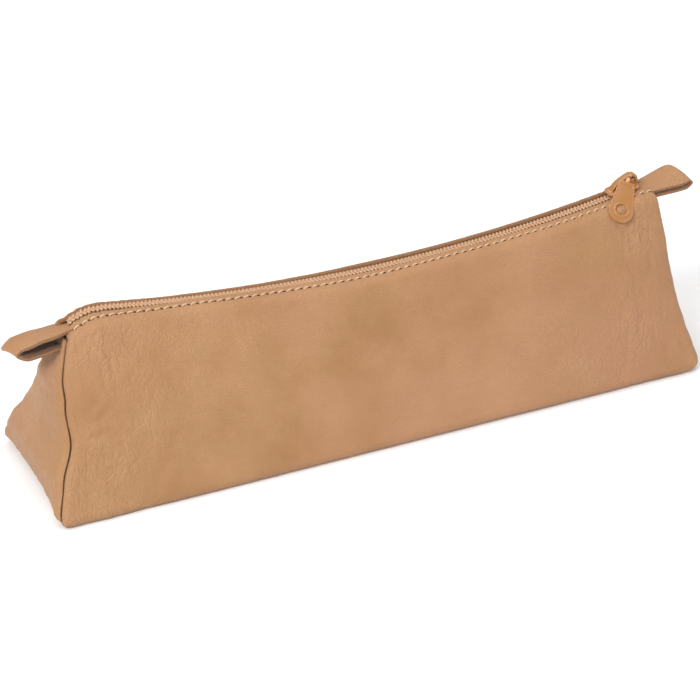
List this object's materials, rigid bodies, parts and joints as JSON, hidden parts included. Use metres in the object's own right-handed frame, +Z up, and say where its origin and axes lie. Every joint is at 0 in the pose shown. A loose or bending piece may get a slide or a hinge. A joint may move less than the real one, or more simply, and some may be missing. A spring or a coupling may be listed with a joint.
{
  "type": "zipped leather pen case",
  "caption": "Long tan leather pen case of triangular section with a coil zipper along its ridge, folded end tabs and a painted metal slider and pull.",
  "frame": {"origin": "centre of the resting face, between the bottom folds and the two end panels", "axes": "+X along the zipper towards its closed end, -Y towards the front wall, +Z up"},
  "size_m": [0.2267, 0.055, 0.0632],
  "materials": {
    "leather": "natural tan grain leather, satin",
    "zipper_tape": "woven tan polyester tape, matt",
    "nylon_coil": "tan nylon monofilament, soft gloss",
    "coil_cord": "twisted cord, matt",
    "thread": "pale tan sewing thread, satin",
    "painted_zinc": "tan enamel over cast zinc, semi-gloss",
    "spring_steel": "bright spring leaf"
  },
  "bodies": {
    "shell": {"base_panel": "leather", "left_gusset": "leather", "right_gusset": "leather", "left_end_seam": "thread", "right_end_seam": "thread", "left_tab": "leather", "right_tab": "leather"},
    "front_side": {"front_panel": "leather", "front_band": "leather", "front_tape": "zipper_tape", "front_coil": "nylon_coil", "front_coil_cord": "coil_cord", "front_coil_thread": "thread", "front_topstitch": "thread"},
    "back_side": {"back_panel": "leather", "back_band": "leather", "back_tape": "zipper_tape", "back_coil": "nylon_coil", "back_coil_cord": "coil_cord", "back_coil_thread": "thread", "back_topstitch": "thread"},
    "slider": {"slider_body": "painted_zinc", "slider_cap": "painted_zinc"},
    "pawl": {"lock_pawl": "spring_steel"},
    "pull": {"pull_tab": "painted_zinc"}
  },
  "joints": [
    {"name": "slider_travel", "type": "hinge", "parent": "shell", "child": "slider", "pos_m": [0, 0, 0.5669], "axis": [0, 1, 0], "range_deg": [0, 19.4]},
    {"name": "front_opening", "type": "hinge", "parent": "shell", "child": "front_side", "pos_m": [0, -0.0267, 0.0008], "axis": [1, 0, 0], "range_deg": [0, 18], "deforming": ["front_band", "front_tape", "front_coil", "front_coil_cord", "front_coil_thread", "front_topstitch"]},
    {"name": "back_opening", "type": "hinge", "parent": "shell", "child": "back_side", "pos_m": [0, 0.0267, 0.0008], "axis": [-1, 0, 0], "range_deg": [0, 18], "deforming": ["back_band", "back_tape", "back_coil", "back_coil_cord", "back_coil_thread", "back_topstitch"]},
    {"name": "pull_swing", "type": "hinge", "parent": "slider", "child": "pull", "pos_m": [0.09252, 0, 0.06123], "axis": [-1, 0, 0], "range_deg": [0, 215]},
    {"name": "pawl_lift", "type": "hinge", "parent": "slider", "child": "pawl", "pos_m": [0.08783, 0, 0.05731], "axis": [0, -1, 0], "range_deg": [0, 8]}
  ],
  "couplings": [
    {"joint": "front_opening", "follows": "slider_travel", "ratio": 0.92},
    {"joint": "back_opening", "follows": "slider_travel", "ratio": 0.92}
  ]
}
